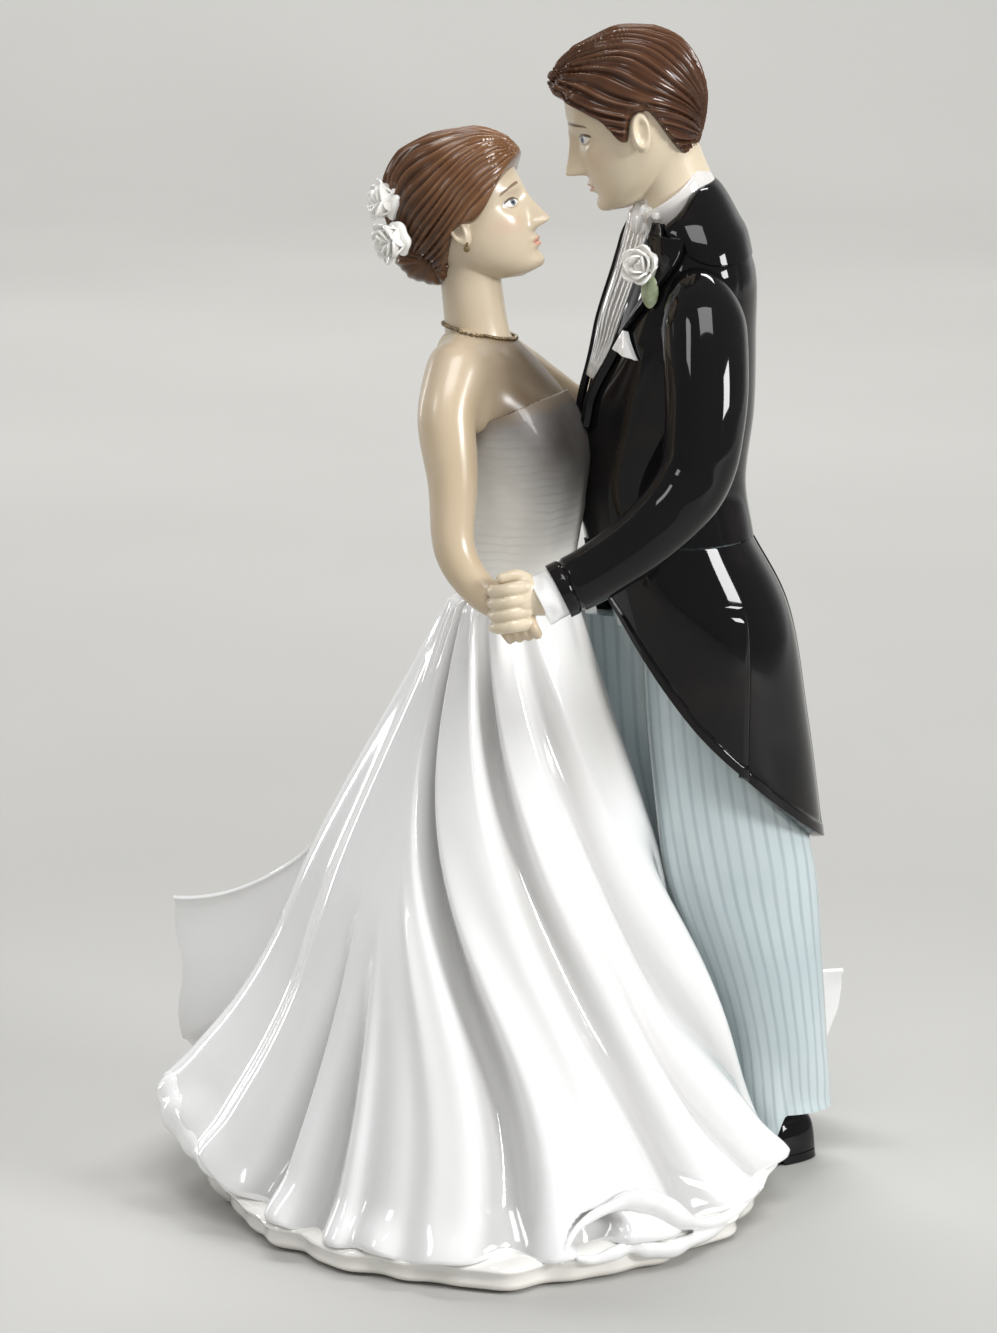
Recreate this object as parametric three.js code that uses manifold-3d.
// Porcelain wedding cake topper: a bride and groom dancing. The figures are slip-cast in sections, luted
// together with slip, decorated and glazed, so nothing on it moves.
// Millimetres. +Z is up, the bride stands on the -X side, the groom on the +X side, and -Y is the front.
import * as THREE from "three";
import { mergeVertices } from "three/addons/utils/BufferGeometryUtils.js";
import Module from "manifold-3d";

const wasm = await Module();
wasm.setup();

// Slip film between two luted pieces.
const GAP = 0.3;

// Gown skirt: a hollow folded bell that stands on a scalloped foot rim.
const RIM_HEIGHT = 4.2;
const RIM_PROUD = 0.9;
const RIM_SCALLOP = 0.7;
const RIM_LAND = 3;
const SKIRT_HEIGHT = 87.5;
const SKIRT_WALL = 3;
const SKIRT_CROWN = 13;
const WAIST_RADIUS = 9.4;
const WAIST_AT = [1.63, -4.16];
const HEM_AT = [-2.77, -3.56];
const FOLD_RISE = 0.9;
// Direction of each fold at the hem and depth of the valley that follows it.
const FOLDS = [
  [5, 1.6],
  [30, 1.4],
  [52, 1.8],
  [74, 1.6],
  [95, 2.2],
  [116, 1.8],
  [137, 2.4],
  [155, 1.8],
  [173, 2],
  [198, 2.4],
  [216, 1.8],
  [234, 1.8],
  [247, 1.2],
  [261, 3.6],
  [283, 1.2],
  [305, 2.6],
  [335, 1.8],
  [350, 1.8],
];
// Direction at the hem, and how far a fold from there has turned half way up and at the waist.
const SWAY = [
  [5, -28, -82],
  [30, -20, -60],
  [90, -10, -38],
  [150, -4, -20],
  [198, -2, -14],
  [215, -5, -23],
  [232, -11, -32],
  [247, -14, -41],
  [261, -15, -48],
  [276, -18, -56],
  [292, -20, -65],
  [320, -35, -80],
  [335, -40, -88],
  [350, -41, -90],
];
// Direction in degrees from +X, reach of the hem, lift of its edge above the rim, hollow of that side.
const HEM = [
  [2, 41.5, 1.5, 1.1],
  [24, 30, 0, 1.1],
  [70, 33, 0, 1.15],
  [115, 43, 1, 1.15],
  [150, 45, 5, 1.08],
  [173, 48.2, 10, 1.02],
  [195, 43, 5, 1.02],
  [215, 40, 1.2, 1.05],
  [240, 41, 0.3, 1.1],
  [275, 44.6, 0.8, 1.16],
  [300, 43, 1.6, 1.2],
  [325, 41, 0.4, 1.22],
  [350, 44.6, 2.4, 1.14],
];

// Train: a sheet that lies on the back of the skirt and flares at its hem to two lifted corners.
const TRAIN_THICKNESS = 1.8;
const TRAIN_TOP = 5;
const TRAIN_NARROW = 95;
const TRAIN_RIPPLE = 1.1;
// Direction, reach and height of the hem of the train, from its left corner to its right corner.
const TRAIN = [
  [31, 59, 23],
  [35, 60, 10],
  [45, 56, 3],
  [60, 51, 2],
  [85, 49, 1.5],
  [115, 51, 1.5],
  [138, 53, 3],
  [147, 55.5, 13],
  [154, 54, 36.5],
];

// Curled frill at the front of the hem.
const FRILL_FROM = 287;
const FRILL_TO = 318;
const FRILL_RADIUS = 1.5;
const FRILL_RISE = 5.2;

// Bride. Rows are x, y and height from the waist, half depth and half width of the section.
const BRIDE_TURN = -20;
const BODICE = [
  [0.4, 0, 0, 8.6, 8.8],
  [0.4, 0, 6, 8.6, 8.7],
  [0.5, 0, 14, 9.8, 10.3],
  [0.5, 0, 21, 10.6, 11.5],
  [-1.1, 0, 27, 9.7, 11.9],
];
const SHOULDERS = [
  [-1.1, 0, 0, 9.5, 11.7],
  [-3.3, 0, 4.5, 7.6, 12.6],
  [-4.9, 0, 8.5, 6.1, 10.6],
  [-5.6, 0, 11, 5, 6.8],
];
const BRIDE_HEAD = 21.5;
const BRIDE_HEAD_AT = [-6.4, -0.2, 56];
const BRIDE_NOD = -18;
const BRIDE_LOOK = -12;
const BRIDE_NECK = 4.7;
const NECK_DEPTH = 4;
const BRIDE_HAIR = 1.9;
const CHIGNON = [5.2, 5.6, 3.7];
const CHIGNON_AT = [-12.4, 0.8, 49.4];
const CHIGNON_TILT = 14;
const HAIR_ROSE = 3.3;
const ROSE_FLATNESS = 0.72;
const HAIR_ROSES_AT = [
  [-18.6, -2.8, 58],
  [-17.6, -6.4, 52.8],
];
const EARRING = 0.75;
const NECKLACE_RADIUS = 6.4;
const NECKLACE_BEAD = 0.6;
const NECKLACE_AT = [-5.3, -0.2, 38.6];
const NECKLACE_DIP = 17;
const BRIDE_UPPER_ARM = 3.7;
const BRIDE_WRIST = 2.3;
const BRIDE_RIGHT_ARM = [
  [-8, -10, 35.4],
  [-9.8, -14.6, 29],
  [-9.7, -17.4, 20],
  [-9, -19.8, 10],
  [-5, -21.8, 4.8],
  [-0.8, -23.2, 2.6],
];
const BRIDE_LEFT_ARM = [
  [-5.2, 8.8, 35.4],
  [-1.2, 13.4, 32],
  [4, 17, 28.2],
  [10.3, 20, 24.8],
];
// End of the bride's left forearm, on the groom's right sleeve, from the coat waist.
const BRIDE_LEFT_FOREARM = [
  [-11.1, 19.3, 19.9],
  [-9.3, 21.5, 23.7],
];
const BRIDE_HAND = 9;

// Groom. Rows are x, y and height from the coat waist, half depth and half width.
const GROOM_AT = [26.13, -0.66];
const GROOM_TURN = 15;
const CUFF_HEIGHT = 8.5;
const LEG_LENGTH = 79.5;
const SEAT_HEIGHT = 12;
const LEFT_LEG = [
  [16.8, 12, 0, 7.2, 6.8],
  [13.8, 6, 0.25, 8.8, 6.8],
  [9, 0, 0.52, 11.2, 6.8],
  [6, -2.2, 0.75, 10.8, 6.6],
  [3.6, -3.8, 1, 9.8, 6.2],
];
const RIGHT_LEG = [
  [4.5, 20, 0, 7.2, 6.8],
  [3, 16, 0.25, 7.6, 7],
  [0.3, 11.6, 0.52, 8.6, 7],
  [-2.4, 8.4, 0.75, 10.8, 6.8],
  [-3.4, 5.8, 1, 11.6, 6.4],
];
const SEAT = [
  [1.4, 1.2, 0, 11.4, 10.8],
  [-0.3, 0.6, 0.5, 10.7, 10.4],
  [-1.5, 0, 1, 10.1, 9.8],
];
const SHOE_LENGTH = 22;
const SHOE_WIDTH = 8;
const SHOE_HEIGHT = 8.2;
const LEFT_SHOE_TURN = 207;
const RIGHT_SHOE_TURN = 192;
const COAT = [
  [-1.9, 0, 0, 12.5, 12.2],
  [-3.2, 0, 8, 12.6, 11.6],
  [-2, 0, 19, 12.3, 13.2],
  [-1.2, 0, 30, 11.4, 14.4],
  [0.2, 0, 40, 9.5, 14.2],
  [-0.3, 0, 46, 7.6, 10.6],
  [-2, 0, 50, 5.8, 6.4],
];
const TAIL_THICKNESS = 1.5;
const TAILS = [
  COAT[0],
  [1.4, 0.6, -10, 14.4, 14.2],
  [4.6, 1, -28, 14.6, 14.6],
  [8.3, 1.4, -46, 13.4, 13.8],
];
const TAIL_LENGTH = 46;
const TAIL_FRONT = 8;
const TAIL_SWEEP = 172;
const TAIL_VENT = 3;
const GROOM_HEAD = 23.6;
const GROOM_HEAD_AT = [-7.6, -0.8, 61];
const GROOM_NOD = 20;
const GROOM_LOOK = 177;
const GROOM_NECK = 5.4;
const GROOM_HAIR = 1.5;
const GROOM_QUIFF = 0.35;
const SLEEVE_SHOULDER = 5.8;
const SLEEVE_CUFF = 4.1;
const LEFT_SLEEVE = [
  [1.4, -9.4, 44],
  [2.8, -14.6, 38.4],
  [3.6, -18.4, 30],
  [3.8, -21.4, 20.5],
  [2.2, -24, 11.3],
  [-5, -26, 4.8],
];
const RIGHT_SLEEVE = [
  [-2.4, 9.8, 44],
  [-2, 15, 38],
  [-1.6, 19, 29],
  [-2.2, 22.4, 18],
  [-6, 22.8, 10],
];
// Ends of the groom's forearms, from the bride's waist: the left hand holds the bride's right hand and the
// right hand lies on the bride's back.
const LEFT_FOREARM = [
  [11.9, -23.9, 9.5],
  [7.1, -24.7, 7.5],
];
const RIGHT_FOREARM = [
  [10.5, 23.1, 13.9],
  [4.1, 18.7, 11.9],
];
const CUFF_LENGTH = 2.2;
const CUFF_INSET = 0.5;
const GROOM_HAND = 10;
const SHIRT_COLLAR_RADIUS = 6.5;
const SHIRT_COLLAR_HEIGHT = 5;
const SHIRT_COLLAR_WALL = 1;
const SHIRT_COLLAR_TILT = -32;
const COAT_COLLAR = 1.7;
const TRIM_THICKNESS = 1;
const CRAVAT = [2.2, 2.8, 3.6];
const CRAVAT_TILT = 24;
const BUTTONHOLE_ROSE = 2.7;
const LEAF_LENGTH = 4.4;
const LEAF_WIDTH = 1.9;
const LEAF_THICKNESS = 1;
const SQUARE_WIDTH = 3.6;
const SQUARE_HEIGHT = 3.2;

const lerp = THREE.MathUtils.lerp;
const rad = THREE.MathUtils.degToRad;
const UP = new THREE.Vector3(0, 0, 1);
const ACROSS = new THREE.Vector3(0, 1, 0);
const vec = (x, y, z) => new THREE.Vector3(x, y, z);

// Colours of the glaze and the on-glaze enamels.
const WHITE = { color: 0xf3f2ee, roughness: 0.14, metalness: 0 };
const LUSTRE = { color: 0xc9c8c6, roughness: 0.2, metalness: 0.1 };
const SKIN = { color: 0xefd9bf, roughness: 0.16, metalness: 0 };
const HAIR = { color: 0x5a2f1e, roughness: 0.22, metalness: 0 };
const BLACK = { color: 0x0e0c0c, roughness: 0.1, metalness: 0 };
const STRIPED = { color: 0xa9bfc9, roughness: 0.2, metalness: 0 };
const GREEN = { color: 0x9aa67e, roughness: 0.2, metalness: 0 };
const GOLD = { color: 0x7a6238, roughness: 0.3, metalness: 0.8 };

// A closed primitive with every vertex moved by map.
function shaped(primitive, map) {
  primitive.deleteAttribute("normal");
  primitive.deleteAttribute("uv");
  const geometry = mergeVertices(primitive);
  const position = geometry.getAttribute("position");
  const point = new THREE.Vector3();
  for (let i = 0; i < position.count; i++) {
    point.fromBufferAttribute(position, i);
    const moved = map(point);
    position.setXYZ(i, moved.x, moved.y, moved.z);
  }
  return geometry;
}

// A bar along Z: map gets the share of the length, the angle round it and the share of the radius.
function bar(around, along, map) {
  const primitive = new THREE.CylinderGeometry(1, 1, 1, around, along);
  return shaped(primitive, (p) => map(p.y + 0.5, Math.atan2(-p.z, p.x), Math.hypot(p.x, p.z)));
}

// A ball: map gets the share of the height, the angle round it and the direction from the middle.
function ball(around, along, map) {
  const primitive = new THREE.SphereGeometry(1, around, along);
  return shaped(primitive, (p) => map(0.5 + Math.asin(THREE.MathUtils.clamp(p.y, -1, 1)) / Math.PI,
    Math.atan2(-p.z, p.x), vec(p.x, -p.z, p.y)));
}

// An even sheet on the surface given by two shares.
function sheet(surface, thickness, across, down) {
  const primitive = new THREE.BoxGeometry(1, 1, 1, across, down, 1);
  const step = 0.002;
  return shaped(primitive, (p) => {
    const u = p.x + 0.5;
    const v = p.y + 0.5;
    const alongU = surface(Math.min(u + step, 1), v).sub(surface(Math.max(u - step, 0), v));
    const alongV = surface(u, Math.min(v + step, 1)).sub(surface(u, Math.max(v - step, 0)));
    const normal = alongU.cross(alongV).normalize();
    return surface(u, v).addScaledVector(normal, p.z * thickness);
  });
}

// Sections along a smooth line: middle and half sizes at a share of the length.
function sections(rows) {
  const middle = new THREE.CatmullRomCurve3(rows.map((row) => vec(row[0], row[1], row[2])));
  const half = new THREE.CatmullRomCurve3(rows.map((row) => vec(row[3], row[4], row[2])));
  return (share) => ({ middle: middle.getPoint(share), half: half.getPoint(share) });
}

// Point on a stack of level oval sections that is turned about its upright.
function onBody(section, turn, share, angle, reach, out = 0) {
  const { middle, half } = section(share);
  const depth = (half.x + out) * reach * Math.cos(angle);
  const width = (half.y + out) * reach * Math.sin(angle);
  return middle.add(vec(depth, width, 0).applyAxisAngle(UP, rad(turn)));
}

function body(rows, turn, around, along, grow = 0) {
  const section = sections(rows);
  return bar(around, along, (share, angle, reach) => {
    const end = share > 0.999 ? grow : share < 0.001 ? -grow : 0;
    return onBody(section, turn, share, angle, reach, grow).add(vec(0, 0, end));
  });
}

// Rows moved to stand on a base point, with heights times a length.
function raised(rows, base, length = 1) {
  return rows.map(([x, y, z, ...half]) => [base.x + x, base.y + y, base.z + z * length, ...half]);
}

// A round bar along a smooth line, from one radius to another.
function limb(points, radius, around, along, flat = 1) {
  const path = new THREE.CatmullRomCurve3(points);
  const across = vec(0.13, 0.97, 0.2);
  return bar(around, along, (share, angle, reach) => {
    const ahead = path.getTangent(share);
    const side = across.clone().cross(ahead).normalize();
    const lift = ahead.clone().cross(side);
    const size = radius(share) * reach;
    return path.getPoint(share).addScaledVector(side, size * flat * Math.cos(angle))
      .addScaledVector(lift, size * Math.sin(angle));
  });
}

function solid(geometry) {
  const mesh = new wasm.Mesh({
    numProp: 3,
    vertProperties: new Float32Array(geometry.getAttribute("position").array),
    triVerts: new Uint32Array(geometry.getIndex().array),
  });
  return new wasm.Manifold(mesh);
}

// The largest body that is left of a solid when others are cut from it.
function fitted(whole, ...cutters) {
  let left = whole;
  for (const cutter of cutters) {
    left = left.subtract(cutter);
  }
  return left.decompose().sort((a, b) => b.volume() - a.volume())[0];
}

function geometryOf(manifold) {
  const mesh = manifold.getMesh();
  const geometry = new THREE.BufferGeometry();
  geometry.setAttribute("position", new THREE.BufferAttribute(new Float32Array(mesh.vertProperties), 3));
  geometry.setIndex(new THREE.BufferAttribute(new Uint32Array(mesh.triVerts), 1));
  return geometry;
}

// Reads a closed table of rows that start with a direction, easing from row to row.
function roundTable(table, degrees) {
  const turn = ((degrees % 360) + 360) % 360;
  const found = table.findIndex((row) => row[0] > turn);
  const next = found < 0 ? 0 : found;
  const from = table[(next + table.length - 1) % table.length];
  const to = table[next];
  const span = (to[0] - from[0] + 360) % 360;
  const share = ((turn - from[0] + 360) % 360) / span;
  const eased = (1 - Math.cos(Math.PI * share)) / 2;
  return from.slice(1).map((value, i) => lerp(value, to[i + 1], eased));
}

const WAIST_Z = RIM_HEIGHT + SKIRT_HEIGHT;
const BRIDE = vec(WAIST_AT[0], WAIST_AT[1], WAIST_Z);
const COAT_Z = CUFF_HEIGHT + LEG_LENGTH + SEAT_HEIGHT;
const GROOM = vec(GROOM_AT[0], GROOM_AT[1], COAT_Z);
const fromBride = (at) => BRIDE.clone().add(vec(...at));
const fromGroom = (at) => GROOM.clone().add(vec(...at));

const pieces = [];
const add = (name, manifold, finish) => pieces.push({ name, manifold, finish });

// Depth below the fold ridges, for a direction at the hem.
function valley(angle) {
  const turn = (THREE.MathUtils.radToDeg(angle) + 360) % 360;
  const found = FOLDS.findIndex((row) => row[0] > turn);
  const next = found < 0 ? 0 : found;
  const [from, depth] = FOLDS[(next + FOLDS.length - 1) % FOLDS.length];
  const span = (FOLDS[next][0] - from + 360) % 360;
  const share = ((turn - from + 360) % 360) / span;
  return depth * (1 - Math.cos(2 * Math.PI * share)) / 2;
}
const DEEPEST = Math.max(...FOLDS.map((row) => row[1]));

// Turn of a fold that ends at a direction of the hem, at a share of the way from the waist to the hem.
function sway(angle, share) {
  const [half, waist] = roundTable(SWAY, THREE.MathUtils.radToDeg(angle));
  const up = 1 - share;
  return rad((4 * half - waist) * up + (2 * waist - 4 * half) * up * up);
}

// Radius of the skirt, with share running from the waist to the hem.
function skirtRadius(angle, share, depth = 0) {
  const [reach, , bell] = roundTable(HEM, THREE.MathUtils.radToDeg(angle));
  const growth = Math.min(1, 0.15 + 1.1 * share);
  return lerp(WAIST_RADIUS, reach, share ** bell) + growth * (FOLD_RISE - depth);
}

function hemHeight(angle) {
  return RIM_HEIGHT + roundTable(HEM, THREE.MathUtils.radToDeg(angle))[1];
}

function skirtPoint(angle, share, radius) {
  const z = lerp(WAIST_Z, hemHeight(angle), share);
  const x = lerp(WAIST_AT[0], HEM_AT[0], share) + radius * Math.cos(angle);
  const y = lerp(WAIST_AT[1], HEM_AT[1], share) + radius * Math.sin(angle);
  return vec(x, y, z);
}

const skirtOuter = (grow) => solid(bar(90, 8, (share, angle, reach) => {
  const down = 1 - share;
  const turned = angle + sway(angle, down);
  const point = skirtPoint(turned, down, (skirtRadius(turned, down, valley(angle)) + grow) * reach);
  return share < 0.001 ? point.add(vec(0, 0, -grow)) : point;
}));
const hollowTop = SKIRT_CROWN / SKIRT_HEIGHT;
const skirtHollow = solid(bar(30, 5, (share, angle, reach) => {
  const down = lerp(1.08, hollowTop, share);
  const inner = skirtRadius(angle, down) - DEEPEST * Math.min(1, down + 0.2) - SKIRT_WALL;
  return skirtPoint(angle, down, inner * reach);
}));
const skirtFull = skirtOuter(0);
const skirtGrown = skirtOuter(GAP);
add("gown_skirt", fitted(skirtFull, skirtHollow), WHITE);

const rimRadius = (angle) => skirtRadius(angle, 1) + RIM_PROUD + RIM_SCALLOP * Math.cos(26 * angle);
const rimSolid = (grow) => solid(bar(78, 2, (share, angle, reach) => {
  const overhang = lerp(hemHeight(angle) - RIM_HEIGHT, share > 0.9 ? RIM_PROUD : 0, share);
  const radius = (rimRadius(angle) + grow - overhang) * reach;
  const z = share * (hemHeight(angle) - GAP + 2 * grow) - grow;
  return vec(HEM_AT[0] + radius * Math.cos(angle), HEM_AT[1] + radius * Math.sin(angle), z);
}));
const rimHole = solid(bar(30, 1, (share, angle, reach) => {
  const radius = (skirtRadius(angle, 1) - DEEPEST - SKIRT_WALL - RIM_LAND) * reach;
  const z = lerp(-1, SKIRT_HEIGHT, share);
  return vec(HEM_AT[0] + radius * Math.cos(angle), HEM_AT[1] + radius * Math.sin(angle), z);
}));
const rimGrown = rimSolid(GAP);
add("foot_rim", fitted(rimSolid(0), rimHole), WHITE);

const frillPath = [];
for (const share of [0, 0.2, 0.5, 0.8, 1]) {
  const angle = rad(lerp(FRILL_FROM, FRILL_TO, share));
  const rise = FRILL_RISE * Math.sin(Math.PI * share);
  const radius = skirtRadius(angle, 1) + FRILL_RADIUS;
  frillPath.push(skirtPoint(angle, 1, radius - 0.45 * rise).add(vec(0, 0, rise)));
}
const swell = (least) => (share) => least + (1 - least) * Math.sin(Math.PI * share);
const frillSwell = swell(0.6);
const frill = solid(limb(frillPath, (share) => FRILL_RADIUS * frillSwell(share), 8, 12));
add("hem_frill", fitted(frill, skirtGrown, rimGrown), WHITE);

// Groom's legs, trimmed where they stand against the gown.
const legFoot = vec(GROOM.x, GROOM.y, CUFF_HEIGHT);
const legTop = CUFF_HEIGHT + LEG_LENGTH;
const legRows = (rows) => raised(rows, legFoot, LEG_LENGTH);
const leg = (rows, grow) => solid(body(legRows(rows), 0, 18, 6, grow));
const shoe = (rows, turn, grow) => {
  const [x, y] = legRows(rows)[0];
  const forward = vec(Math.cos(rad(turn)), Math.sin(rad(turn)), 0);
  const across = vec(-forward.y, forward.x, 0);
  const last = solid(bar(14, 8, (share, angle, reach) => {
    const along = lerp(-0.22, 0.78, share) * SHOE_LENGTH;
    const taper = Math.sqrt(Math.max(0.05, 1 - Math.abs(2 * share - 0.92) ** 4));
    const high = lerp(SHOE_HEIGHT, SHOE_HEIGHT * 0.42, Math.max(0, share - 0.35) / 0.65);
    const side = Math.cos(angle) * reach * (SHOE_WIDTH / 2 * taper + grow);
    const z = Math.max(-grow, Math.sin(angle) * reach * (high + grow));
    return vec(x, y, z).addScaledVector(forward, along).addScaledVector(across, side);
  }));
  return last;
};
const leftLegGrown = leg(LEFT_LEG, GAP);
const rightLegGrown = leg(RIGHT_LEG, GAP);
const leftShoeGrown = shoe(LEFT_LEG, LEFT_SHOE_TURN, GAP);
const rightShoeGrown = shoe(RIGHT_LEG, RIGHT_SHOE_TURN, GAP);
add("trouser_left_leg", fitted(leg(LEFT_LEG, 0), skirtGrown, rimGrown), STRIPED);
add("trouser_right_leg", fitted(leg(RIGHT_LEG, 0), skirtGrown, rimGrown, leftLegGrown), STRIPED);
add("left_shoe", fitted(shoe(LEFT_LEG, LEFT_SHOE_TURN, 0), skirtGrown, rimGrown, leftLegGrown), BLACK);
add("right_shoe", fitted(shoe(RIGHT_LEG, RIGHT_SHOE_TURN, 0), skirtGrown, rimGrown, rightLegGrown,
  leftShoeGrown, leftLegGrown), BLACK);

// Train, clear of the skirt and of the groom's legs.
function trainPoint(u, v) {
  const swing = THREE.MathUtils.smoothstep(v, 0, 1);
  const degrees = lerp(TRAIN[TRAIN.length - 1][0], lerp(TRAIN_NARROW, TRAIN[0][0], swing), u);
  const angle = rad(degrees);
  const [reach, rise] = roundTable(TRAIN, degrees);
  const z = lerp(WAIST_Z - TRAIN_TOP, rise, 1 - (1 - v) ** 1.5);
  const share = (WAIST_Z - z) / (WAIST_Z - hemHeight(angle));
  const lowest = (WAIST_Z - rise) / (WAIST_Z - hemHeight(angle));
  const clear = GAP + TRAIN_THICKNESS * 0.8;
  const flare = reach - skirtRadius(angle, Math.min(1, lowest));
  const ripple = TRAIN_RIPPLE * v * v * (1 + Math.cos(11 * angle));
  const spread = flare * v ** lerp(4, 2.2, u);
  const radius = skirtRadius(angle, Math.min(1, share)) + clear + spread + ripple;
  const x = lerp(WAIST_AT[0], HEM_AT[0], Math.min(1, share)) + radius * Math.cos(angle);
  const y = lerp(WAIST_AT[1], HEM_AT[1], Math.min(1, share)) + radius * Math.sin(angle);
  return vec(x, y, z);
}
const train = solid(sheet(trainPoint, TRAIN_THICKNESS, 26, 8));
add("gown_train", fitted(train, skirtGrown, rimGrown, leftLegGrown, rightLegGrown, leftShoeGrown,
  rightShoeGrown), WHITE);

// Head: level rings of a head one unit high, as height, middle, half depth and half width.
const HEAD_RINGS = [
  [-0.5, 0.2, 0, 0],
  [-0.47, 0.19, 0.15, 0.12],
  [-0.37, 0.1, 0.265, 0.215],
  [-0.21, 0.02, 0.36, 0.285],
  [-0.02, -0.035, 0.41, 0.33],
  [0.16, -0.045, 0.425, 0.34],
  [0.34, -0.055, 0.37, 0.295],
  [0.46, -0.07, 0.225, 0.18],
  [0.5, -0.08, 0, 0],
];
const headLine = new THREE.CatmullRomCurve3(HEAD_RINGS.map((ring) => vec(ring[0], ring[1], 0)));
const headSize = new THREE.CatmullRomCurve3(HEAD_RINGS.map((ring) => vec(ring[2], ring[3], ring[0])));
const bump = (offset, width) => Math.exp(-((offset / width) ** 2));

function headPoint(share, angle) {
  const line = headLine.getPoint(share);
  const size = headSize.getPoint(share);
  const x = line.y + Math.max(0, size.x) * Math.cos(angle);
  const y = Math.max(0, size.y) * Math.sin(angle);
  return vec(x, y, line.x);
}

// Nose, brow, eye hollows, lips and chin, on the front of the head.
function face(point) {
  if (point.x < 0.05) {
    return point;
  }
  const { y, z } = point;
  const nose = Math.max(0, Math.min(1, (0.07 - z) / 0.24)) * THREE.MathUtils.smoothstep(z, -0.25, -0.17);
  const eyes = bump(Math.abs(y) - 0.15, 0.07) * bump(z + 0.01, 0.05);
  const lips = bump(z + 0.3, 0.035) * bump(y, 0.08);
  const chin = bump(z + 0.44, 0.05) * bump(y, 0.09);
  point.x += 0.13 * nose * bump(y, 0.055) - 0.035 * eyes + 0.022 * lips + 0.02 * chin;
  return point;
}

const smooth = THREE.MathUtils.smoothstep;
// Lowest hair on the side of the head, for a distance in front of the ears.
const groomHairline = (x) => 0.05 + 0.24 * smooth(x, 0.1, 0.42) - 0.14 * bump(x - 0.07, 0.05)
  - 0.36 * smooth(-x, 0.1, 0.24);
const brideHairline = (x) => -0.04 + 0.28 * smooth(x, 0.05, 0.42) - 0.27 * smooth(-x, 0.02, 0.3);

function headFrame(at, height, look, nod) {
  const frame = new THREE.Matrix4().makeTranslation(at);
  frame.multiply(new THREE.Matrix4().makeRotationZ(rad(look)));
  frame.multiply(new THREE.Matrix4().makeRotationY(rad(nod)));
  return frame.scale(vec(height, height, height));
}

const headOut = (point) => vec(point.x + 0.05, point.y, point.z).normalize();

function headSolid(frame, grow = 0) {
  const fine = grow > 0 ? 12 : 18;
  return solid(ball(fine, fine - 3, (share, angle) => {
    const point = face(headPoint(share, angle));
    return point.addScaledVector(headOut(point), grow).applyMatrix4(frame);
  }));
}

function hairSolid(frame, hairline, thickness, quiff) {
  return solid(ball(18, 12, (share, angle) => {
    const point = headPoint(share, angle);
    const cover = smooth(point.z - hairline(point.x), -0.07, 0.07);
    const lift = lerp(-0.06, thickness * (1 + quiff * smooth(point.x, 0.05, 0.3)), cover);
    return point.addScaledVector(headOut(point), lift).applyMatrix4(frame);
  }));
}

function earSolid(frame, side) {
  return solid(ball(8, 6, (share, angle, direction) => {
    const lobe = vec(direction.x * 0.055 + direction.z * -0.02, direction.y * 0.035, direction.z * 0.115);
    return lobe.add(vec(-0.03, side * 0.345, -0.07)).applyMatrix4(frame);
  }));
}

function rose(at, radius, facing) {
  const turn = new THREE.Quaternion().setFromUnitVectors(UP, facing.clone().normalize());
  return (grow) => solid(ball(15, 6, (share, angle, direction) => {
    const petals = 1 + 0.12 * Math.cos(5 * angle + 7 * share) * Math.cos((share - 0.5) * Math.PI);
    const size = (radius + grow) * petals;
    direction.z *= ROSE_FLATNESS;
    return direction.multiplyScalar(size).applyQuaternion(turn).add(at);
  }));
}

// Open hand: palm, four fingers and a thumb, fingers along +X, palm facing -Z, thumb on the thumb side.
function hand(length, thumb, curl, place, grow = 0) {
  const proud = grow / length;
  const finger = (points, thick) => solid(limb(points.map((p) => vec(...p)), (share) =>
    (thick * (1 - 0.3 * share) + proud) * (share > 0.99 ? 0.6 : 1), 5, 3));
  let whole = solid(ball(8, 6, (share, angle, direction) => vec(0.26 + direction.x * (0.3 + proud),
    direction.y * (0.24 + proud), direction.z * (0.125 + proud))));
  for (const [y, reach] of [[0.17, 0.9], [0.06, 1], [-0.055, 0.96], [-0.165, 0.82]]) {
    const bent = (share) => -curl * share * share;
    whole = whole.add(finger([[0.4, y * thumb, 0], [lerp(0.4, reach, 0.5), y * 1.1 * thumb, bent(0.5)],
      [lerp(reach, 0.62, curl), y * 1.15 * thumb, bent(1)]], 0.075));
  }
  whole = whole.add(finger([[0.12, 0.16 * thumb, -0.03], [0.3, 0.3 * thumb, -0.09],
    [0.5, 0.32 * thumb, -0.14]], 0.08));
  const matrix = place.clone().scale(vec(length, length, length));
  return whole.transform(matrix.elements);
}

// Hand frame from the wrist, with the fingers towards one point and the palm facing a direction.
function handFrame(wrist, towards, palm) {
  const forward = towards.clone().sub(wrist).normalize();
  const across = forward.clone().cross(palm).normalize();
  const back = forward.clone().cross(across);
  return new THREE.Matrix4().makeBasis(forward, across, back).setPosition(wrist);
}

// Groom's coat, sleeves and tails.
const coatRows = raised(COAT, GROOM);
const coatGrown = solid(body(coatRows, GROOM_TURN, 26, 9, GAP));
const seatRows = raised(SEAT, vec(GROOM.x, GROOM.y, legTop + GAP), SEAT_HEIGHT - 2 * GAP);
const tailSection = sections(raised(TAILS, GROOM));
const tailsFull = solid(body(raised(TAILS, GROOM.clone().add(vec(0, 0, -GAP))), GROOM_TURN, 26, 6, 0));

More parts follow.
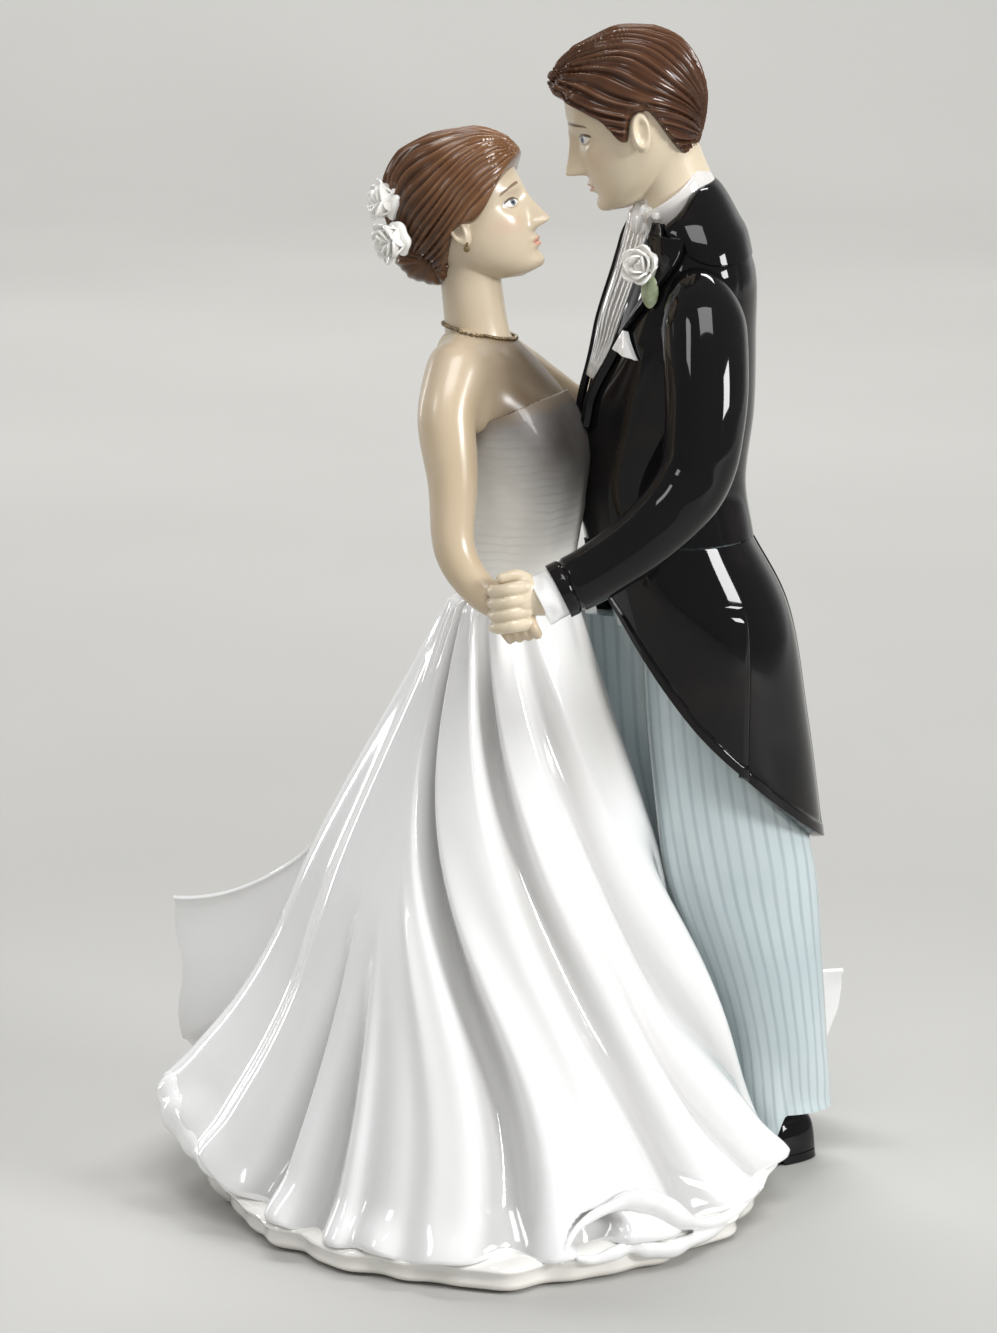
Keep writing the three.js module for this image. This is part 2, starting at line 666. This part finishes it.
function tail(side, grow) {
  const surface = (u, v) => {
    const sweep = lerp(TAIL_VENT, TAIL_SWEEP, u);
    const low = lerp(TAIL_LENGTH, TAIL_FRONT, u ** 2);
    const share = Math.min(1, low * v / TAIL_LENGTH);
    const point = onBody(tailSection, GROOM_TURN, share, rad(-side * sweep), 1, -TAIL_THICKNESS / 2);
    return point.add(vec(0, 0, -GAP));
  };
  return solid(sheet(side > 0 ? (u, v) => surface(1 - u, 1 - v) : (u, v) => surface(u, 1 - v),
    TAIL_THICKNESS + 2 * grow, 14, 6));
}

const rounded = (share) => (share < 0.001 ? 0.55 : 1);
const leftSleevePath = [...LEFT_SLEEVE.map(fromGroom), ...LEFT_FOREARM.map(fromBride)];
const rightSleevePath = [...RIGHT_SLEEVE.map(fromGroom), ...RIGHT_FOREARM.map(fromBride)];
const sleeve = (points, grow) => solid(limb(points, (share) =>
  rounded(share) * lerp(SLEEVE_SHOULDER, SLEEVE_CUFF, smooth(share, 0.1, 1)) + grow, 12, 11));
const rightArmPath = BRIDE_RIGHT_ARM.map(fromBride);
const leftArmPath = [...BRIDE_LEFT_ARM.map(fromBride), ...BRIDE_LEFT_FOREARM.map(fromGroom)];
const arm = (points, grow) => solid(limb(points, (share) =>
  rounded(share) * lerp(BRIDE_UPPER_ARM, BRIDE_WRIST, smooth(share, 0.1, 1)) + grow, 10, 10));

const cuffPath = (points) => {
  const path = new THREE.CatmullRomCurve3(points);
  const end = path.getPoint(1);
  const ahead = path.getTangent(1);
  return [end.clone().addScaledVector(ahead, GAP), end.clone().addScaledVector(ahead, GAP + CUFF_LENGTH)];
};
const cuff = (points) => solid(limb(cuffPath(points), () => SLEEVE_CUFF - CUFF_INSET, 14, 1));
const leftWrist = cuffPath(leftSleevePath)[1];
const rightWrist = cuffPath(rightSleevePath)[1];
const brideRightWrist = rightArmPath[rightArmPath.length - 1];
const brideLeftWrist = leftArmPath[leftArmPath.length - 1];

// Hands: groom's left holds bride's right, groom's right is on the bride's back, bride's left on a sleeve.
const clasp = brideRightWrist.clone().lerp(leftWrist, 0.5);
const groomLeftFrame = handFrame(leftWrist.clone().lerp(clasp, 0.12), clasp.clone().add(vec(-4, -1.5, 0)),
  vec(-0.2, 0.75, -0.6));
const groomLeftHand = (grow) => hand(GROOM_HAND, -1, 0.42, groomLeftFrame, grow);
const brideRightFrame = handFrame(brideRightWrist.clone().lerp(clasp, 0.1),
  clasp.clone().add(vec(3, 0.4, -0.5)), vec(0.1, -0.55, 0.8));
const brideRightHand = (grow) => hand(BRIDE_HAND, 1, 0.3, brideRightFrame, grow);
const groomRightFrame = handFrame(rightWrist.clone(), fromBride([-7.4, 8.6, 9]), vec(0.45, -0.9, 0));
const groomRightHand = (grow) => hand(GROOM_HAND, 1, 0.22, groomRightFrame, grow);
const brideLeftFrame = handFrame(brideLeftWrist.clone(), fromGroom([-5.6, 23.4, 32]), vec(0.85, -0.5, 0));
const brideLeftHand = (grow) => hand(BRIDE_HAND, -1, 0.2, brideLeftFrame, grow);

const bodiceRows = raised(BODICE, BRIDE.clone().add(vec(0, 0, GAP)));
const neckline = BODICE[BODICE.length - 1][2];
const shoulderRows = raised(SHOULDERS, BRIDE.clone().add(vec(0, 0, neckline + 2 * GAP)));
const bodiceGrown = solid(body(bodiceRows, BRIDE_TURN, 22, 7, GAP));
const shouldersGrown = solid(body(shoulderRows, BRIDE_TURN, 22, 5, GAP));

add("coat_body", fitted(solid(body(coatRows, GROOM_TURN, 26, 9)), bodiceGrown, shouldersGrown), BLACK);
const seat = solid(body(seatRows, GROOM_TURN, 20, 3));
add("trouser_seat", fitted(seat, skirtGrown, tail(1, GAP), tail(-1, GAP)), STRIPED);
add("coat_left_tail", fitted(tail(1, 0), coatGrown, skirtGrown, leftLegGrown, rightLegGrown), BLACK);
add("coat_right_tail", fitted(tail(-1, 0), coatGrown, skirtGrown, leftLegGrown, rightLegGrown), BLACK);

const rightArmGrown = arm(rightArmPath, GAP);
const leftArmGrown = arm(leftArmPath, GAP);
const rightSleeveGrown = sleeve(rightSleevePath, GAP);
const leftSleeveGrown = sleeve(leftSleevePath, GAP);
add("left_sleeve", fitted(sleeve(leftSleevePath, 0), coatGrown, tailsFull), BLACK);
add("right_sleeve", fitted(sleeve(rightSleevePath, 0), coatGrown, bodiceGrown), BLACK);
add("left_cuff", cuff(leftSleevePath), WHITE);
add("right_cuff", fitted(cuff(rightSleevePath), bodiceGrown), WHITE);

const cuffEnd = (points) => {
  const [from, to] = cuffPath(points);
  const ahead = to.clone().sub(from).normalize();
  const inside = from.clone().addScaledVector(ahead, -CUFF_LENGTH);
  const outside = to.clone().addScaledVector(ahead, GAP);
  return solid(limb([inside, outside], () => SLEEVE_CUFF + GAP, 14, 1));
};
add("groom_left_hand", fitted(groomLeftHand(0), cuffEnd(leftSleevePath), rightArmGrown), SKIN);
add("groom_right_hand", fitted(groomRightHand(0), cuffEnd(rightSleevePath), bodiceGrown), SKIN);

// Bride's figure.
add("gown_bodice", fitted(solid(body(bodiceRows, BRIDE_TURN, 22, 7))), LUSTRE);
const brideFrame = headFrame(fromBride(BRIDE_HEAD_AT), BRIDE_HEAD, BRIDE_LOOK, BRIDE_NOD);
const brideNeckTop = vec(-0.1, 0, -0.22).applyMatrix4(brideFrame);
const brideNeckRoot = vec(...shoulderRows[shoulderRows.length - 1].slice(0, 3));
const neck = (root, top, radius) => {
  const path = [root, root.clone().lerp(top, 0.5), top];
  return solid(limb(path, () => radius, 12, 3));
};
const brideNeckSeat = brideNeckRoot.clone().add(vec(0, 0, -NECK_DEPTH));
const brideNeck = (grow) => neck(brideNeckSeat, brideNeckTop, BRIDE_NECK + grow);
const necklace = (grow) => {
  const ring = new THREE.TorusGeometry(NECKLACE_RADIUS, NECKLACE_BEAD + grow, 5, 24);
  return solid(shaped(ring, (p) =>
    vec(p.x, p.y, p.z).applyAxisAngle(ACROSS, rad(NECKLACE_DIP)).add(fromBride(NECKLACE_AT))));
};
// Head with its neck and ears; grown, it is the room that hair and collar leave for it.
const wholeHead = (frame, neckSolid, grow) => headSolid(frame, grow).add(neckSolid)
  .add(earSolid(frame, 1)).add(earSolid(frame, -1));
const brideHeadWhole = wholeHead(brideFrame, brideNeck(0), 0);
const brideHeadGrown = wholeHead(brideFrame, brideNeck(GAP), 2 * GAP / BRIDE_HEAD);
const earring = (side, grow) => {
  const at = vec(-0.015, side * 0.365, -0.2).applyMatrix4(brideFrame);
  return solid(ball(8, 6, (share, angle, direction) =>
    direction.multiplyScalar(EARRING + grow).add(at)));
};
add("bride_head", fitted(brideHeadWhole, necklace(GAP), earring(1, GAP), earring(-1, GAP)), SKIN);
add("bride_shoulders", fitted(solid(body(shoulderRows, BRIDE_TURN, 22, 5)), brideNeck(GAP), necklace(GAP),
  rightArmGrown, leftArmGrown), SKIN);
add("necklace", necklace(0), GOLD);
add("earring_right", earring(-1, 0), GOLD);
add("earring_left", earring(1, 0), GOLD);
const egg = (half, tilt, at, grow, around, along) => {
  const size = vec(...half).addScalar(grow);
  return solid(ball(around, along, (share, angle, direction) =>
    direction.multiply(size).applyAxisAngle(ACROSS, rad(tilt)).add(at)));
};
const chignon = (grow) => egg(CHIGNON, CHIGNON_TILT, fromBride(CHIGNON_AT), grow, 14, 9);
const hairMiddle = fromBride(BRIDE_HEAD_AT);
const hairRoses = HAIR_ROSES_AT.map((place) => {
  const at = fromBride(place);
  return rose(at, HAIR_ROSE, at.clone().sub(hairMiddle));
});
const brideHair = hairSolid(brideFrame, brideHairline, BRIDE_HAIR / BRIDE_HEAD, 0);
add("bride_hair", fitted(brideHair, brideHeadGrown, chignon(GAP), hairRoses[0](GAP), hairRoses[1](GAP),
  earring(1, GAP), earring(-1, GAP)), HAIR);
add("bride_chignon", fitted(chignon(0), brideHeadGrown, hairRoses[0](GAP), hairRoses[1](GAP)), HAIR);
add("hair_rose_upper", fitted(hairRoses[0](0), brideHeadGrown, hairRoses[1](GAP)), WHITE);
add("hair_rose_lower", fitted(hairRoses[1](0), brideHeadGrown), WHITE);
add("bride_right_arm", fitted(arm(rightArmPath, 0), bodiceGrown), SKIN);
add("bride_left_arm", fitted(arm(leftArmPath, 0), bodiceGrown, coatGrown, rightSleeveGrown), SKIN);
add("bride_right_hand", fitted(brideRightHand(0), rightArmGrown, groomLeftHand(GAP),
  cuffEnd(leftSleevePath)), SKIN);
add("bride_left_hand", fitted(brideLeftHand(0), leftArmGrown, rightSleeveGrown, coatGrown), SKIN);

// Groom's head, collar and trim.
const groomFrame = headFrame(fromGroom(GROOM_HEAD_AT), GROOM_HEAD, GROOM_LOOK, GROOM_NOD);
const groomNeckTop = vec(-0.1, 0, -0.22).applyMatrix4(groomFrame);
const coatTop = vec(...coatRows[coatRows.length - 1].slice(0, 3));
const groomNeckSeat = coatTop.clone().add(vec(0, 0, GAP));
const groomNeck = (grow) => neck(groomNeckSeat, groomNeckTop, GROOM_NECK + grow);
const groomHeadWhole = wholeHead(groomFrame, groomNeck(0), 0);
const groomHeadGrown = wholeHead(groomFrame, groomNeck(GAP), 2 * GAP / GROOM_HEAD);
add("groom_head", fitted(groomHeadWhole, coatGrown), SKIN);
const groomHair = hairSolid(groomFrame, groomHairline, GROOM_HAIR / GROOM_HEAD, GROOM_QUIFF);

const collarRing = (radius, low, high) => solid(bar(18, 1, (share, angle, reach) => {
  const out = radius * reach;
  const point = vec(out * Math.cos(angle), out * Math.sin(angle), lerp(low, high, share));
  return point.applyAxisAngle(ACROSS, rad(SHIRT_COLLAR_TILT)).add(coatTop);
}));
const shirtCollar = (grow) => collarRing(SHIRT_COLLAR_RADIUS + grow, -grow, SHIRT_COLLAR_HEIGHT + grow);
const shirtBore = collarRing(SHIRT_COLLAR_RADIUS - SHIRT_COLLAR_WALL, -2, SHIRT_COLLAR_HEIGHT + 2);
add("groom_hair", fitted(groomHair, groomHeadGrown, shirtCollar(GAP)), HAIR);
add("shirt_collar", fitted(shirtCollar(0), shirtBore, groomHeadGrown, coatGrown), WHITE);

const coatSection = sections(coatRows);
const onCoat = (share, degrees, out) => onBody(coatSection, GROOM_TURN, share, rad(degrees), 1, out);
const trim = (inner, outer, low, high, grow = 0) => solid(sheet((u, v) => {
  const share = lerp(low, high, v);
  return onCoat(share, lerp(inner(v), outer(v), u), GAP + TRIM_THICKNESS / 2);
}, TRIM_THICKNESS + 2 * grow, 3, 6));
const opening = (v) => lerp(2, 24, v * v);
const lapelEdge = (v) => opening(v) + lerp(3, 34, smooth(v, 0, 0.85)) * (v > 0.9 ? 0.7 : 1);
const shirtHalf = (v, grow) => opening(v) + 8 * grow;
const shirtFront = (grow) => trim((v) => 180 - shirtHalf(v, grow), (v) => 180 + shirtHalf(v, grow),
  0.6, 0.9 + 0.03 * grow, grow);
add("shirt_front", fitted(shirtFront(0), bodiceGrown, shouldersGrown, shirtCollar(GAP)), WHITE);
const leftLapel = trim((v) => 182 + opening(v), (v) => 182 + lapelEdge(v), 0.3, 0.86);
const rightLapel = trim((v) => 178 - lapelEdge(v), (v) => 178 - opening(v), 0.3, 0.86);

const roseAt = onCoat(0.735, 214, GAP + TRIM_THICKNESS + BUTTONHOLE_ROSE * 0.5);
const roseOut = roseAt.clone().sub(fromGroom([0, 0, 38]));
const buttonhole = rose(roseAt, BUTTONHOLE_ROSE, roseOut);
const leafAt = onCoat(0.655, 213, GAP + TRIM_THICKNESS);
const leafHalf = vec(LEAF_THICKNESS / 2, LEAF_WIDTH / 2, LEAF_LENGTH / 2);
const leafTurn = Math.atan2(roseOut.y, roseOut.x);
const leaf = (grow) => solid(ball(8, 6, (share, angle, direction) =>
  direction.multiply(leafHalf.clone().addScalar(grow)).applyAxisAngle(UP, leafTurn).add(leafAt)));
const lapelCuts = [bodiceGrown, shouldersGrown, leftSleeveGrown, rightSleeveGrown];
const brideReach = [leftArmGrown, rightSleeveGrown, brideLeftHand(GAP)];
add("lapel_left", fitted(leftLapel, ...lapelCuts, buttonhole(GAP), leaf(GAP)), BLACK);
add("lapel_right", fitted(rightLapel, ...lapelCuts, ...brideReach), BLACK);
add("buttonhole_rose", fitted(buttonhole(0), coatGrown, leftSleeveGrown), WHITE);
add("buttonhole_leaf", fitted(leaf(0), coatGrown, buttonhole(GAP)), GREEN);

const collarPath = [[0.83, 232], [0.93, 275], [0.985, 0], [0.93, 85], [0.83, 128]];
const collarPoints = collarPath.map(([share, degrees]) => onCoat(share, degrees, COAT_COLLAR * 0.7));
const collarSwell = swell(0.7);
const collar = solid(limb(collarPoints, (share) => COAT_COLLAR * collarSwell(share), 7, 10));
add("coat_collar", fitted(collar, coatGrown, shirtCollar(GAP), groomHeadGrown, leftLapel, rightLapel,
  buttonhole(GAP), leftSleeveGrown, rightSleeveGrown), BLACK);

const cravatAt = onCoat(0.9, 182, 0.6);
const cravat = egg(CRAVAT, CRAVAT_TILT, cravatAt, 0, 10, 7);
add("cravat", fitted(cravat, coatGrown, shirtCollar(GAP), groomHeadGrown, leftLapel, rightLapel,
  shirtFront(GAP)), WHITE);

const square = solid(sheet((u, v) => {
  const width = THREE.MathUtils.radToDeg(SQUARE_WIDTH / 13) * (u - 0.5) * (1 - 0.8 * v);
  return onCoat(0.5 + SQUARE_HEIGHT / 60 * v, 229 + width, GAP + TRIM_THICKNESS / 2);
}, TRIM_THICKNESS, 3, 3));
add("pocket_square", fitted(square, leftLapel, leftSleeveGrown), WHITE);

const group = new THREE.Group();
group.name = "wedding_cake_topper";
for (const { name, manifold, finish } of pieces) {
  const mesh = new THREE.Mesh(geometryOf(manifold), new THREE.MeshStandardMaterial(finish));
  mesh.name = name;
  group.add(mesh);
}

// The origin is the middle of the footprint, on the surface it stands on.
const box = new THREE.Box3().setFromObject(group);
group.position.set(-(box.min.x + box.max.x) / 2, -(box.min.y + box.max.y) / 2, 0);

export default group;
